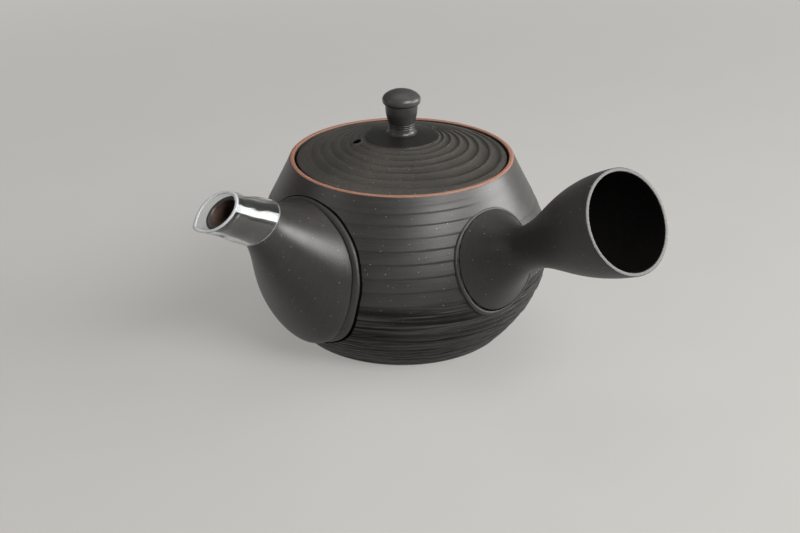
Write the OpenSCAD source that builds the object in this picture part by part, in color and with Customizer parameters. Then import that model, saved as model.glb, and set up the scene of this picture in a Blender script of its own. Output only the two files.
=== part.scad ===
// Side-handled Japanese teapot (kyusu): thrown stoneware pot with a luted spout, a hollow
// trumpet handle, a pierced clay strainer behind the spout, a seated lid with its knob, and
// a clear vinyl guard pushed over the spout's tip.
// Millimetres. The origin is the middle of the base, +Z is up and the spout points along -X.

/* [Body] */
// Outside diameter at the rim
rim_d = 80; // [76:0.5:86]
// Outside diameter at the belly
belly_d = 106.6; // [102:0.2:114]
// Outside diameter at the foot of the wall
base_d = 75.4; // [68:0.2:82]
// Height of the rim above the table
body_h = 65.3; // [64:0.1:76]
// Height of the widest part of the belly
belly_z = 30.5; // [27:0.5:34]
// Slope of the shoulder at the rim, across for each unit up
shoulder_slope = 0.45; // [0.35:0.01:0.55]
// Wall thickness, measured level
wall_t = 3; // [2.4:0.1:3.6]
// Floor thickness
floor_t = 4; // [3:0.1:5]
// Radius where the floor turns up into the wall inside
floor_corner = 6; // [3:0.5:9]
// Height of the first throwing ring
ring_first = 2.4; // [1.5:0.1:4]
// Rise from one throwing ring to the next
ring_pitch = 4.9; // [3.5:0.1:7]
// Depth of the step at each throwing ring
ring_step = 0.35; // [0.1:0.05:0.6]

/* [Rim and lid seat] */
// Width of the bare rim
rim_t = 1.6; // [1.4:0.1:2.4]
// Rounding of the rim's two edges
rim_round = 0.35; // [0.2:0.05:0.6]
// Depth of the lid's seat below the rim
seat_drop = 3.2; // [2.4:0.1:4.5]
// Width of the lid's seat
seat_w = 4.4; // [3:0.1:6]
// Thickness of the seat at its inner edge
seat_t = 2.2; // [1.5:0.1:3]
// Height over which the wall swells inwards to carry the seat
seat_corbel = 6; // [4:0.5:9]

/* [Lid] */
// Gap round the lid's edge, inside the rim
lid_gap = 0.8; // [0.3:0.05:1]
// Thickness of the lid at its edge
lid_edge = 2.7; // [2:0.1:3.5]
// Thickness of the lid's crown
lid_t = 3; // [2.2:0.1:4]
// Rise from the lid's edge to the edge of its boss
lid_rise = 7.7; // [5:0.1:11]
// Diameter of the smooth boss under the knob
boss_d = 25.8; // [18:0.2:30]
// Rise of the boss from its edge to the knob's foot
boss_rise = 1.4; // [0:0.1:2.5]
// Width of the smooth band at the lid's edge
lid_band = 5.2; // [3:0.1:8]
// Number of turned steps on the lid
lid_steps = 8; // [4:1:12]
// Depth of each turned step
lid_step = 0.3; // [0.1:0.05:0.5]
// Depth of the locating flange below the seat
flange_h = 4.5; // [3:0.1:7]
// Thickness of the locating flange
flange_t = 2.5; // [1.8:0.1:3.5]
// Gap between the flange and the seat
flange_gap = 0.5; // [0.3:0.05:1]
// Diameter of the vent hole
vent_d = 2.8; // [2:0.1:4]
// Distance of the vent hole from the lid's middle
vent_at = 16.3; // [15.5:0.1:20]
// Turn of the vent hole from the spout, seen from above
vent_turn = -29; // [-180:1:180]

/* [Knob] */
// Diameter of the knob's foot
knob_foot_d = 10.6; // [8:0.1:13]
// Diameter of the knob's stem at its waist
knob_stem_d = 9.4; // [7:0.1:11]
// Diameter of the knob's cap
knob_cap_d = 13.6; // [12.2:0.1:17]
// Height of the flare at the knob's foot
knob_flare_h = 2; // [1:0.1:3.5]
// Height from the boss to the cap's lower edge
knob_stem_h = 10.8; // [8:0.1:15]
// Height of the cap
knob_cap_h = 4.9; // [4:0.1:8]
// Height of the cap's widest part above its lower edge
knob_cap_full = 1.5; // [1:0.1:2.5]
// Rounding of the cap's lower edge
knob_cap_round = 0.4; // [0.2:0.1:0.8]

/* [Spout] */
// Drop from the rim to the middle of the spout's base
spout_drop = 26.9; // [26:0.1:28]
// Upward tilt of the spout's base, degrees
spout_base_tilt = 28; // [24:0.5:30]
// Width of the spout's base
spout_base_w = 52.2; // [46:0.2:54]
// Height of the spout's base, square to its tilt
spout_base_h = 45.8; // [42:0.2:46.4]
// Width of the spout's foot on the wall
spout_wall = 4; // [3:0.1:5]
// Distance of the neck from the pot's axis
neck_reach = 65.2; // [64:0.2:74]
// Drop from the rim to the middle of the neck
neck_drop = 7.4; // [4:0.1:12]
// Outside diameter of the neck, where the guard ends
neck_d = 14.7; // [13.5:0.1:17]
// Outside diameter at the lip
lip_d = 13.2; // [12:0.1:14.5]
// Wall thickness from the neck to the lip
lip_wall = 1.6; // [1.2:0.1:2.2]
// Length of the tip from the neck to the lip
tip_len = 16.2; // [12:0.1:20]
// Upward tilt of the tip, degrees
tip_tilt = 27.8; // [22:0.1:34]
// Slant of the lip's cut against a square one, degrees
lip_slant = 24; // [0:0.5:28]
// Droop of the bell where it leaves the pot, degrees
bell_droop = 54; // [40:1:64]
// Fullness of the bell's top near the pot
bell_top = 0.25; // [0.1:0.01:0.5]
// Fullness of the bell's underside near the pot
bell_low = 0.67; // [0.4:0.01:0.8]
// Fullness of the bell near the neck
neck_pull = 0.37; // [0.25:0.01:0.6]
// Fullness of the channel near the pot, as a share of the outside's
channel_full = 0.6; // [0.5:0.05:0.7]

/* [Strainer] */
// Diameter of the port through the wall behind the spout
port_d = 26; // [20:0.5:30]
// Drop from the rim to the middle of the port
port_drop = 30; // [28:0.1:33]
// Width of the strainer's foot round the port
strainer_foot = 3.2; // [2.5:0.1:4]
// Width of the foot that is luted to the wall
strainer_land = 2.2; // [1.6:0.1:2.4]
// Height of the strainer's dome above its foot
strainer_rise = 5; // [3:0.1:7]
// Thickness of the strainer
strainer_t = 1.8; // [1.4:0.1:2.5]
// Diameter of each pierced hole
pierce_d = 1.7; // [1.2:0.1:2.2]
// Distance between rings of pierced holes
pierce_pitch = 2.9; // [2.6:0.1:4]
// Clay left between the outermost holes and the port's edge
pierce_edge = 0.5; // [0.3:0.1:2]

/* [Handle] */
// Turn from the spout to the handle, seen from above, degrees
handle_turn = 88.7; // [80:0.1:100]
// Drop from the rim to the middle of the handle's base
handle_drop = 23.4; // [22:0.1:27]
// Upward tilt of the handle, degrees
handle_tilt = 29.4; // [24:0.1:34]
// Length of the handle from the wall to its open end
handle_len = 63; // [50:0.5:75]
// Diameter of the handle's base on the wall
handle_base_d = 33.6; // [28:0.2:35]
// Diameter of the handle's neck
handle_neck_d = 15.2; // [13.5:0.1:19]
// Distance of the neck from the wall
handle_neck_at = 15.5; // [12:0.1:20]
// Diameter of the handle's open end
handle_end_d = 34.6; // [30:0.2:40]
// Wall thickness of the handle
handle_wall = 2.6; // [2:0.1:3.2]
// Wall thickness at the handle's open end
handle_lip = 1.3; // [1:0.1:2]
// Upward bow of the handle's middle line
handle_bow = 1.1; // [0:0.1:3]
// Fullness of the handle's flared foot
foot_pull = 0.8; // [0.4:0.05:1.2]

/* [Slip beads] */
// Width of the slip bead round each base
bead_w = 1.8; // [1.2:0.1:2.4]
// Height of the slip bead
bead_h = 0.9; // [0.5:0.1:1.4]
// Groove between the bead and the base that it runs round
bead_groove = 0.3; // [0.15:0.05:0.6]

/* [Spout guard] */
// Wall thickness of the clear guard
guard_wall = 1; // [0.7:0.1:1.5]
// Gap between the guard and the tip
guard_gap = 0.3; // [0.2:0.05:0.5]
// Length of the guard past the lip
guard_past = 3.5; // [2:0.1:6]
// Gap between the guard's back end and the neck
guard_back = 0.3; // [0.2:0.1:2]

/* [Hidden] */
$fn = 96;
// Hairline left in each luted joint, so that the fired pieces meet without sharing space
lute = 0.15;
// Points along each side of a bezier curve
curve_n = 12;
// Points along a quarter round
arc_n = 4;
// Points along the strainer's dome
nose_n = 8;
// Halvings when a seam is traced on the wall
halvings = 26;
// Share of the height above the belly over which the shoulder bends
shoulder_share = 0.4;
// Fullness of the wall just above the belly, as a share of that bend
belly_share = 0.85;
// Height left plain between the last throwing ring and the rim's rounding
plain_top = 2;
// Shares of the trumpet's length where it starts to open and where it is nearly full
trumpet_start = 0.3;
trumpet_full = 0.5;
// Flat share of the rounded end of the handle
end_flat = 0.4;
// Points round a lofted ring
loft_n = 44;
// Rings along the spout's bell
bell_n = 10;
// Rings along the handle's flared foot
foot_n = 6;
// Reach of cutting tools past what they cut
past = 60;
// Height of the riser of each throwing ring or lid step, as turned
riser = 0.5;

rim_r = rim_d / 2;
belly_r = belly_d / 2;
base_r = base_d / 2;
rim_in = rim_r - rim_t;
seat_z = body_h - seat_drop;
seat_in = rim_in - seat_w;
corbel_z = seat_z - seat_t - seat_corbel;

// Point at share t of a cubic bezier curve
function bezier(p, t) = pow(1 - t, 3) * p[0] + 3 * pow(1 - t, 2) * t * p[1]
    + 3 * (1 - t) * pow(t, 2) * p[2] + pow(t, 3) * p[3];
// Points of a whole cubic bezier curve, its first point left out
function curve(p) = [for (i = [1:curve_n]) bezier(p, i / curve_n)];
// Points of a quarter round about c, from angle a to angle b
function arc(c, r, a, b) = [for (i = [0:arc_n]) let (turn = a + (b - a) * i / arc_n)
    c + r * [cos(turn), sin(turn)]];
function unit(v) = v / norm(v);

// Outer form of the pot as [radius, height]: a full curve to the belly, then the shoulder
full_low = curve([[base_r, 0], [base_r + (belly_r - base_r) * 2 / 3, belly_z / 3],
    [belly_r, belly_z * 2 / 3], [belly_r, belly_z]]);
shoulder_reach = (body_h - belly_z) * shoulder_share;
full_high = curve([[belly_r, belly_z], [belly_r, belly_z + shoulder_reach * belly_share],
    [rim_r + shoulder_slope * shoulder_reach, body_h - shoulder_reach], [rim_r, body_h]]);
form_table = [for (p = concat([[base_r, 0]], full_low, full_high)) [p[1], p[0]]];
function form_r(z) = lookup(z, form_table);

// Crests of the throwing rings, which the luted pieces sit on
ring_n = floor((body_h - rim_round - plain_top - ring_first) / ring_pitch);
ring_z = [for (k = [0:ring_n]) ring_first + k * ring_pitch];
crest_z = concat([0], ring_z, [body_h - rim_round]);
crest_table = [for (z = crest_z) [z, z > ring_z[ring_n] ? rim_r : form_r(z)]];
function wall_r(z) = lookup(z, crest_table);

// Wall of the cavity from the floor's corner to the foot of the corbel
inner_low = floor_t + floor_corner;
inner_wall = [for (i = [0:curve_n])
    let (z = inner_low + (corbel_z - inner_low) * i / curve_n) [wall_r(z) - wall_t, z]];
// Outline of the cavity below the seat, drawn in by a hairline when another piece fits it
function cavity(inset) = concat(
    [[0, floor_t + inset], [inner_wall[0][0] - floor_corner, floor_t + inset]],
    [for (p = inner_wall) p - [inset, 0]],
    [[seat_in - inset, seat_z - seat_t], [seat_in - inset, seat_z], [0, seat_z]]);

// Where a line from p along d leaves the pot's wall, found by halving
function outside(p) = norm([p[0], p[1]]) - wall_r(p[2]) - lute;
function wall_hit(p, d, low = 0, high = belly_d, n = halvings) = let (mid = (low + high) / 2)
    n == 0 ? p + mid * d
    : outside(p + mid * d) < 0 ? wall_hit(p, d, mid, high, n - 1) : wall_hit(p, d, low, mid, n - 1);
// Seam on the wall of an oval tube about a line that leaves the pot at height z, tilted up
function seam(z, tilt, half_w, half_h) = let (
        out = [-cos(tilt), 0, sin(tilt)],
        rise = [sin(tilt), 0, cos(tilt)],
        start = [-wall_r(z), 0, z] - base_r * out)
    [for (i = [0:loft_n - 1]) let (a = 360 * i / loft_n)
        wall_hit(start + half_w * cos(a) * [0, 1, 0] + half_h * sin(a) * rise, out)];

spout_z = body_h - spout_drop;
neck_z = body_h - neck_drop;
neck_mid = [-neck_reach, 0, neck_z];
tip_out = [-cos(tip_tilt), 0, sin(tip_tilt)];
tip_rise = [sin(tip_tilt), 0, cos(tip_tilt)];
bell_out = [-cos(bell_droop), 0, -sin(bell_droop)];
handle_z = body_h - handle_drop;
handle_out = [-cos(handle_tilt), 0, sin(handle_tilt)];
handle_rise = [sin(handle_tilt), 0, cos(handle_tilt)];
port_z = body_h - port_drop;

// Ring across the tip on the lip's slant, at a distance from the neck
function tip_ring(along, r) = [for (i = [0:loft_n - 1]) let (a = 360 * i / loft_n)
    neck_mid + (along - r * sin(a) * tan(lip_slant)) * tip_out
        + r * sin(a) * tip_rise + r * cos(a) * [0, 1, 0]];
// Point at share t of a hermite blend from a to b, leaving along da and arriving along db
function blend(a, b, da, db, t) = (2 * pow(t, 3) - 3 * pow(t, 2) + 1) * a
    + (3 * pow(t, 2) - 2 * pow(t, 3)) * b
    + (pow(t, 3) - 2 * pow(t, 2) + t) * da + (pow(t, 3) - pow(t, 2)) * db;
// Ring at share t of the bell, between its seam and the neck, fuller on its underside
function bell_ring(foot, top, full, t) = [for (i = [0:loft_n - 1])
    let (span = norm(top[i] - foot[i]),
        pull = full * (bell_low + (bell_top - bell_low) * (1 + sin(360 * i / loft_n)) / 2))
    blend(foot[i], top[i], pull * span * bell_out, neck_pull * span * tip_out, t)];
// Seam of the spout on the wall, set in from its outer edge
function spout_seam(base_in) = seam(spout_z, spout_base_tilt,
    spout_base_w / 2 - base_in, spout_base_h / 2 - base_in);
// Rings of one skin of the spout, from the wall to the lip, set in from the outside
function spout_skin(base_in, tip_in, full) = let (
        foot = spout_seam(base_in),
        top = tip_ring(0, neck_d / 2 - tip_in))
    concat([for (k = [0:bell_n]) bell_ring(foot, top, full, k / bell_n)],
        [tip_ring(tip_len, lip_d / 2 - tip_in)]);
function backwards(list) = [for (i = [len(list) - 1:-1:0]) list[i]];

// Point on the handle's middle line, which bows upwards, at a distance from the wall
function handle_mid(along) = let (t = along / handle_len) [-wall_r(handle_z), 0, handle_z]
    + along * handle_out + 4 * handle_bow * t * (1 - t) * handle_rise;
// Ring round the handle's middle line
function handle_ring(along, r) = [for (i = [0:loft_n - 1]) let (a = 360 * i / loft_n)
    handle_mid(along) + r * cos(a) * [0, 1, 0] + r * sin(a) * handle_rise];
// Ring at share t of the flared foot, between its seam and the handle's neck
function foot_ring(foot, top, t) = [for (i = [0:loft_n - 1])
    let (pull = foot_pull * norm(top[i] - foot[i]))
    blend(foot[i], top[i], pull * unit(handle_mid(handle_neck_at) - foot[i]), pull * handle_out, t)];
// Rings of one skin of the handle, from the wall to just inside its rounded end
function handle_skin(base_in, end_in) = let (
        neck_r = handle_neck_d / 2 - base_in,
        end_r = handle_end_d / 2 - end_in,
        end_at = handle_len - handle_lip / 2,
        opening = end_at - handle_neck_at,
        foot = seam(handle_z, handle_tilt, handle_base_d / 2 - base_in, handle_base_d / 2 - base_in),
        top = handle_ring(handle_neck_at, neck_r))
    concat([for (k = [0:foot_n]) foot_ring(foot, top, k / foot_n)],
        [for (p = curve([[neck_r, handle_neck_at],
            [neck_r, handle_neck_at + opening * trumpet_start],
            [end_r, handle_neck_at + opening * trumpet_full], [end_r, end_at]]))
            handle_ring(p[1], p[0])]);

// Solid whose skin is a closed chain of rings
module ring_chain(rings) {
    rows = len(rings);
    cols = len(rings[0]);
    polyhedron(
        points = [for (ring = rings) each ring],
        faces = [for (r = [0:rows - 1], c = [0:cols - 1])
            let (a = r * cols + c,
                b = r * cols + (c + 1) % cols,
                d = ((r + 1) % rows) * cols + c,
                e = ((r + 1) % rows) * cols + (c + 1) % cols)
            each [[a, d, b], [b, d, e]]]);
}

// Puts a piece made along +Z in line with the port, its origin on the pot's axis
module at_port() {
    translate([0, 0, port_z])
        rotate([0, -90, 0])
            children();
}

// Half-round bead on the wall round an oval base
module slip_bead(z, tilt, half_w, half_h) {
    function lifted(ring, h) = [for (p = ring) p + h * unit([p[0], p[1], 0])];
    ring_chain([for (a = [0:45:180])
        let (across = bead_groove + bead_w * (1 - cos(a)) / 2)
        lifted(seam(z, tilt, half_w + across, half_h + across), bead_h * sin(a))]);
}

// Thrown pot: stepped outside, smooth cavity, seat for the lid and port to the spout
module body() {
    steps = [for (z = ring_z) each [[form_r(z - riser) - ring_step, z - riser], [form_r(z), z]]];
    outside = concat([[0, 0], [base_r, 0]], steps,
        arc([rim_r - rim_round, body_h - rim_round], rim_round, 0, 90),
        arc([rim_in + rim_round, body_h - rim_round], rim_round, 90, 180),
        [[rim_in, seat_z], [0, seat_z]]);
    color([0.23, 0.22, 0.21])
        difference() {
            rotate_extrude() polygon(outside);
            rotate_extrude() polygon(cavity(0));
            at_port() cylinder(d = port_d, h = belly_r + past);
        }
}

// Bell-shaped spout with its channel, from the seam on the wall to the slanted lip
module spout() {
    color([0.25, 0.24, 0.23])
        ring_chain(concat(spout_skin(spout_wall, lip_wall, channel_full), backwards(spout_skin(0, 0, 1)),
            [spout_seam(spout_wall / 2)]));
}

// Bead of slip round the spout's base
module spout_slip_bead() {
    color([0.32, 0.31, 0.29])
        slip_bead(spout_z, spout_base_tilt, spout_base_w / 2, spout_base_h / 2);
}

// Pierced clay dome over the port, trimmed to the inside of the wall
module strainer() {
    foot_r = port_d / 2 + strainer_foot;
    wall_x = wall_r(port_z) - wall_t;
    // The pot curves away from a flat foot by this much at the foot's edge
    sag = wall_x - sqrt(pow(wall_x, 2) - pow(foot_r, 2)) + strainer_t;
    rings = floor((port_d / 2 - pierce_d / 2 - pierce_edge) / pierce_pitch);
    dome_h = sag + strainer_rise;
    dome_r = (pow(foot_r, 2) + pow(dome_h, 2)) / (2 * dome_h);
    color([0.30, 0.26, 0.23])
        difference() {
            intersection() {
                rotate_extrude() polygon(cavity(lute));
                at_port() translate([0, 0, wall_x - dome_h]) dome(dome_r, dome_h + past, foot_r);
            }
            at_port() translate([0, 0, wall_x - dome_h + strainer_t])
                dome(dome_r - strainer_t, dome_h + past, foot_r - strainer_land);
            at_port() for (k = [0:rings], i = [0:max(6 * k, 1) - 1])
                rotate(360 * i / max(6 * k, 1))
                    translate([k * pierce_pitch, 0, 0])
                        cylinder(d = pierce_d, h = belly_r);
        }
}

// Round-nosed plug of height h, with its nose at the origin
module dome(r, h, limit) {
    nose = asin(min(limit / r, 1));
    rotate_extrude()
        polygon(concat([for (i = [0:nose_n]) r * [sin(nose * i / nose_n), 1 - cos(nose * i / nose_n)]],
            [[limit, h], [0, h]]));
}

// Hollow trumpet handle, closed at the foot by the pot's wall and open at its end
module handle() {
    end_r = handle_end_d / 2;
    rim = [for (side = [1, -1]) handle_ring(handle_len, end_r - handle_lip * (1 + side * end_flat) / 2)];
    color([0.25, 0.24, 0.23])
        rotate([0, 0, handle_turn])
            ring_chain(concat(handle_skin(handle_wall, handle_lip), rim, backwards(handle_skin(0, 0))));
}

// Bead of slip round the handle's base
module handle_slip_bead() {
    color([0.32, 0.31, 0.29])
        rotate([0, 0, handle_turn])
            slip_bead(handle_z, handle_tilt, handle_base_d / 2, handle_base_d / 2);
}

// Lid with turned steps, a low conical boss, a locating flange and a vent hole
module lid() {
    edge_r = rim_in - lid_gap;
    edge_z = seat_z + lid_edge;
    boss_r = boss_d / 2;
    boss_z = edge_z + lid_rise;
    flange_r = seat_in - flange_gap;
    slope = lid_rise / (edge_r - boss_r);
    step_pitch = (edge_r - lid_band - boss_r) / lid_steps;
    function top_z(r) = edge_z + slope * (edge_r - r);
    steps = [for (k = [0:lid_steps - 1]) let (r = edge_r - lid_band - k * step_pitch)
        each [[r, top_z(r)], [r - riser, top_z(r - riser) - lid_step]]];
    color([0.27, 0.26, 0.23])
        difference() {
            rotate_extrude()
                polygon(concat(
                    [[edge_r, seat_z], [edge_r, edge_z - lid_step]], steps,
                    [[boss_r, boss_z], [knob_foot_d / 2, boss_z + boss_rise],
                        [0, boss_z + boss_rise], [0, boss_z - lid_t],
                        [boss_r, boss_z - lid_t],
                        [flange_r - flange_t, top_z(flange_r - flange_t) - lid_t],
                        [flange_r - flange_t, seat_z - flange_h],
                        [flange_r, seat_z - flange_h], [flange_r, seat_z]]));
            rotate([0, 0, 180 + vent_turn])
                translate([vent_at, 0, seat_z])
                    cylinder(d = vent_d, h = past);
        }
}

// Knob: flared foot, slightly waisted stem and a domed cap
module knob() {
    foot_z = seat_z + lid_edge + lid_rise + boss_rise;
    foot_r = knob_foot_d / 2;
    stem_r = knob_stem_d / 2;
    cap_r = knob_cap_d / 2;
    cap_z = knob_stem_h + knob_cap_full;
    knob_h = knob_stem_h + knob_cap_h;
    shank_r = (stem_r + cap_r) / 2;
    color([0.22, 0.21, 0.20])
        translate([0, 0, foot_z])
            rotate_extrude()
                polygon(concat([[0, 0], [foot_r, 0]],
                    curve([[foot_r, 0], [stem_r, knob_flare_h / 3],
                        [stem_r, knob_flare_h * 2 / 3], [stem_r, knob_flare_h]]),
                    curve([[stem_r, knob_flare_h], [stem_r, knob_stem_h / 2],
                        [shank_r, knob_stem_h / 2], [shank_r, knob_stem_h]]),
                    curve([[cap_r - knob_cap_round, knob_stem_h], [cap_r, knob_stem_h],
                        [cap_r, knob_stem_h + knob_cap_round], [cap_r, cap_z]]),
                    curve([[cap_r, cap_z], [cap_r, (cap_z + knob_h) / 2],
                        [cap_r / 2, knob_h], [0, knob_h]])));
}

// Clear tube over the tip, both ends cut on the lip's slant
module spout_guard() {
    back_r = neck_d / 2 + guard_gap;
    lip_r = lip_d / 2 + guard_gap;
    tube_len = tip_len + guard_past;
    // The slanted ends reach past the square tube by this much
    lean = (back_r + guard_wall) * tan(lip_slant);
    function bore_r(s) = back_r + (lip_r - back_r) * s / tip_len;
    low = guard_back - lean;
    high = tube_len + lean;
    color([0.8, 0.85, 0.85, 0.5])
        translate(neck_mid)
            rotate([0, tip_tilt - 90, 0])
                intersection() {
                    rotate_extrude()
                        polygon([[bore_r(low), low], [bore_r(low) + guard_wall, low],
                            [bore_r(high) + guard_wall, high], [bore_r(high), high]]);
                    rotate([0, lip_slant, 0])
                        translate([-past / 2, -past / 2, guard_back * cos(lip_slant)])
                            cube([past, past, (tube_len - guard_back) * cos(lip_slant)]);
                }
}

body();
spout();
spout_slip_bead();
strainer();
handle();
handle_slip_bead();
lid();
knob();
spout_guard();
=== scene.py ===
"""Looks of a side-handled teapot in smoked stoneware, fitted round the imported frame.

Shapes are worked out in millimetres as whole numpy grids and put into meshes in metres, in the
part's own frame: the pot's axis is Z, the spout points along -X and the handle along -Y.
"""
import math

import bpy
import numpy as np
from mathutils import Euler, Matrix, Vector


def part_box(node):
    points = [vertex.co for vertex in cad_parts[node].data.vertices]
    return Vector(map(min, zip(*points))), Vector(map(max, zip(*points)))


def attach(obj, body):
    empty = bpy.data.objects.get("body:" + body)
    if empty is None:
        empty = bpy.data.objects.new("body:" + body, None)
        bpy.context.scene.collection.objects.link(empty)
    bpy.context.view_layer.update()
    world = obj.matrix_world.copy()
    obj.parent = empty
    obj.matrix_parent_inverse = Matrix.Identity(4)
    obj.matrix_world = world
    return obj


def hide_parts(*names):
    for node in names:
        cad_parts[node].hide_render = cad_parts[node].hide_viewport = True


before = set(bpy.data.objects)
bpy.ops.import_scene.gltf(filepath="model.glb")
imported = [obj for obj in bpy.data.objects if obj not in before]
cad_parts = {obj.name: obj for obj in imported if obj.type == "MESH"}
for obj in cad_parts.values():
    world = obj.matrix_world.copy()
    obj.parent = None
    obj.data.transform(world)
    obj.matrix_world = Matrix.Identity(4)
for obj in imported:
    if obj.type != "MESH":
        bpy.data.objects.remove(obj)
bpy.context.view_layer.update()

MM = 0.001
TURN = 2 * math.pi
SIDEWAYS = np.array([0.0, 1.0, 0.0])

# Points round the pot and the lid, the knob, the lofted pieces and a bored hole
TURNED_N = 256
KNOB_N = 128
LOFT_N = 160
HOLE_N = 48


# Ways along and across a tilted piece

def outwards(tilt):
    """Way out of the pot along -X, tilted up from level."""
    return np.array([-math.cos(tilt), 0.0, math.sin(tilt)])


def upwards(tilt):
    """Way square to the one outwards, in the same upright plane."""
    return np.array([math.sin(tilt), 0.0, math.cos(tilt)])


# Pot: the thrown form, its rim and the seat of the lid
BODY_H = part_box("body")[1][2] / MM
RIM_R = 40.0
RIM_T = 1.6
RIM_ROUND = 0.35
BELLY_R = 53.3
BELLY_Z = 30.5
BASE_R = 37.7
BASE_ROUND = 0.6
SHOULDER_SLOPE = 0.45
SHOULDER_REACH = (BODY_H - BELLY_Z) * 0.4
BELLY_REACH = SHOULDER_REACH * 0.85
WALL_T = 3.0
FLOOR_T = 4.0
FLOOR_CORNER = 6.0
SEAT_Z = BODY_H - 3.2
SEAT_R = 34.0
SEAT_T = 2.2
CORBEL_Z = SEAT_Z - SEAT_T - 6.0
PORT_R = 13.0
PORT_Z = BODY_H - 30.0
PORT_FROM = -BELLY_R + WALL_T + 12
PORT_TO = -BELLY_R - 3
FORM_N = 60
WALL_ROWS = 270
CAVITY_ROWS = 26
# Soft rings inside the pot, the share of bare clay there, and the depths below the rim's top
# between which the bare clay of the rim begins
CAVITY_RING_PITCH = 4.5
CAVITY_RING_DEPTH = 0.12
CAVITY_BARE = 0.12
RIM_BARE = (BODY_H - 0.4, BODY_H - 0.2)

# Throwing rings: their count up to height z is a quadratic, since the rings close up upwards
RING_START = 0.45
RING_RATE = 0.085
RING_CLOSING = 0.00168
RING_DEPTH = 0.34
RING_DEPTH_LEAST = 0.1
RING_LIP = 0.12
RING_CURVE = 1.4
RING_FOOT = (0.4, 3.0)
RING_TOP = (61.4, 62.9)
# Each ring's own strength is drawn between two limits, with a few rings to spare
RING_STRENGTH = (0.3, 1.1)
RING_DRAWS = 40
RING_DRAW_SEED = 8
# Heights between which the shoulder gets burnished, the middle of the stretch between spout and
# handle that was rubbed less, and the cosines off that middle at which it ends
SHOULDER_BURNISH = (46.0, 56.0)
RUBBED_LESS_TURN = math.radians(238)
RUBBED_LESS_COSINE = (0.75, 0.97)
RUBBED_LESS = 0.7
BURNISH_LEVELS = 0.85
# Grooves of the lower wall
GROOVE_FOOT = (0.4, 2.0)
GROOVE_TOP = (27.0, 33.0)
GROOVE_DEPTH = 0.32
GROOVE_PITCH = 1.5
GROOVE_FINE = 0.6
GROOVE_RAGGED = 0.9
# Unevenness of rings and grooves: how much, and the waves that it is made of
RING_SWAY, RING_SWAY_WAVES = 0.05, {"seed": 3, "turns": 6, "climb": 0.1}
RING_TREMBLE, RING_TREMBLE_WAVES = 0.014, {"seed": 4, "turns": 90, "climb": 0.3}
RING_SWELL, RING_SWELL_WAVES = 0.35, {"seed": 5, "turns": 9, "climb": 0.35}
GROOVE_SWAY, GROOVE_SWAY_WAVES = 0.9, {"seed": 6, "turns": 12, "climb": 1.3}
GROOVE_RAGGED_WAVES = {"seed": 7, "turns": 50, "climb": 2.4}

# Lid
LID_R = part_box("lid")[1][0] / MM
KNOB_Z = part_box("lid")[1][2] / MM
FLANGE_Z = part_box("lid")[0][2] / MM
BOSS_RISE = 1.4
BOSS_Z = KNOB_Z - BOSS_RISE
BOSS_R = 12.9
BOSS_TOP_R = 5.3
LID_EDGE_Z = SEAT_Z + 2.7
LID_ROUND = 0.5
LID_T = 3.0
FLANGE_R = 33.5
FLANGE_T = 2.5
CROWN_ROWS = 150
# Steps turned on the crown from the smooth band inwards: their count, how fast they close up, their
# height, and the share of each that is its steep face
BAND_R = LID_R - 5.2
LID_STEPS = 6.5
LID_CLOSING = 0.72
LID_STEP = 0.45
LID_FACE = 0.25
LID_SWAY, LID_SWAY_WAVES = 0.16, {"seed": 13, "turns": 5, "climb": 0.25}
LID_TREMBLE, LID_TREMBLE_WAVES = 0.03, {"seed": 14, "turns": 60, "climb": 0.5}
# The steps are full towards one side and worn on the other
LID_FULL_TURN = math.radians(-35)
LID_FULL_RANGE = (0.4, 1.1)
LID_SWELL, LID_SWELL_WAVES = 0.3, {"seed": 15, "turns": 5, "climb": 0.3}
# Painted shade in the steps, as deep as they are, so stronger where they are full
LID_STEP_SHADE = 1.5
BOSS_BURNISH = 0.6
# Vent hole, its raised lip, and the distances from its middle between which the steps begin
VENT_R = 1.4
VENT_AT = 16.3
VENT_TURN = math.radians(180 - 29)
VENT_LIP_H = 0.4
VENT_LIP_R = VENT_R + 0.4
VENT_LIP_W = 0.4
VENT_CLEAR = (1.8, 3.2)
VENT_TOP = BOSS_Z + 4

# Knob
KNOB_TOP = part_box("knob")[1][2] / MM
KNOB_SUNK = 0.2
KNOB_FOOT_R = 5.6
KNOB_FLARE_H = 2.0
KNOB_STEM_R = 4.7
KNOB_STEM_H = 10.8
KNOB_CAP_R = 6.8
KNOB_CAP_FULL = 1.5
KNOB_LINES = np.array([2.2, 2.9, 3.7])
KNOB_LINE_DEPTH = 0.12
KNOB_LINE_W = 0.17
# Painted shade in its grooves
KNOB_LINE_SHADE = 2
# Painted shade darkens its stem under the cap, up to between these heights
KNOB_PAINTED_SHADE = 0.6
KNOB_PAINTED_SHADE_TOP = (9.5, 11.5)
KNOB_BURNISH = 0.5

# Spout, from its seam on the wall to the slanted lip
SPOUT_Z = BODY_H - 26.9
SPOUT_TILT = math.radians(28)
SPOUT_HALF_W = 26.1
SPOUT_HALF_H = 22.9
SPOUT_WALL = 4.0
NECK = np.array([-65.2, 0.0, BODY_H - 7.4])
NECK_R = 7.35
LIP_R = 6.5
LIP_WALL = 1.6
LIP_SLANT = math.radians(24)
TIP_WAIST = 0.35
TIP_LEN = 16.2
TIP_TILT = math.radians(27.8)
TIP_OUT = outwards(TIP_TILT)
TIP_RISE = upwards(TIP_TILT)
BELL_OUT = outwards(math.radians(-54))
BELL_TOP = 0.25
BELL_LOW = 0.67
NECK_PULL = 0.37
CHANNEL_FULL = 0.6
CHANNEL_ROWS = 40
BELL_ROWS = 80
TIP_ROWS = 22
LIP_ROWS = 9
# Burnish at the seam and at the neck, the rows between them, and bare clay in the channel
SPOUT_BURNISH = (0.6, 1.2)
SPOUT_BURNISH_ROWS = 90
CHANNEL_BARE = 0.4

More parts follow.
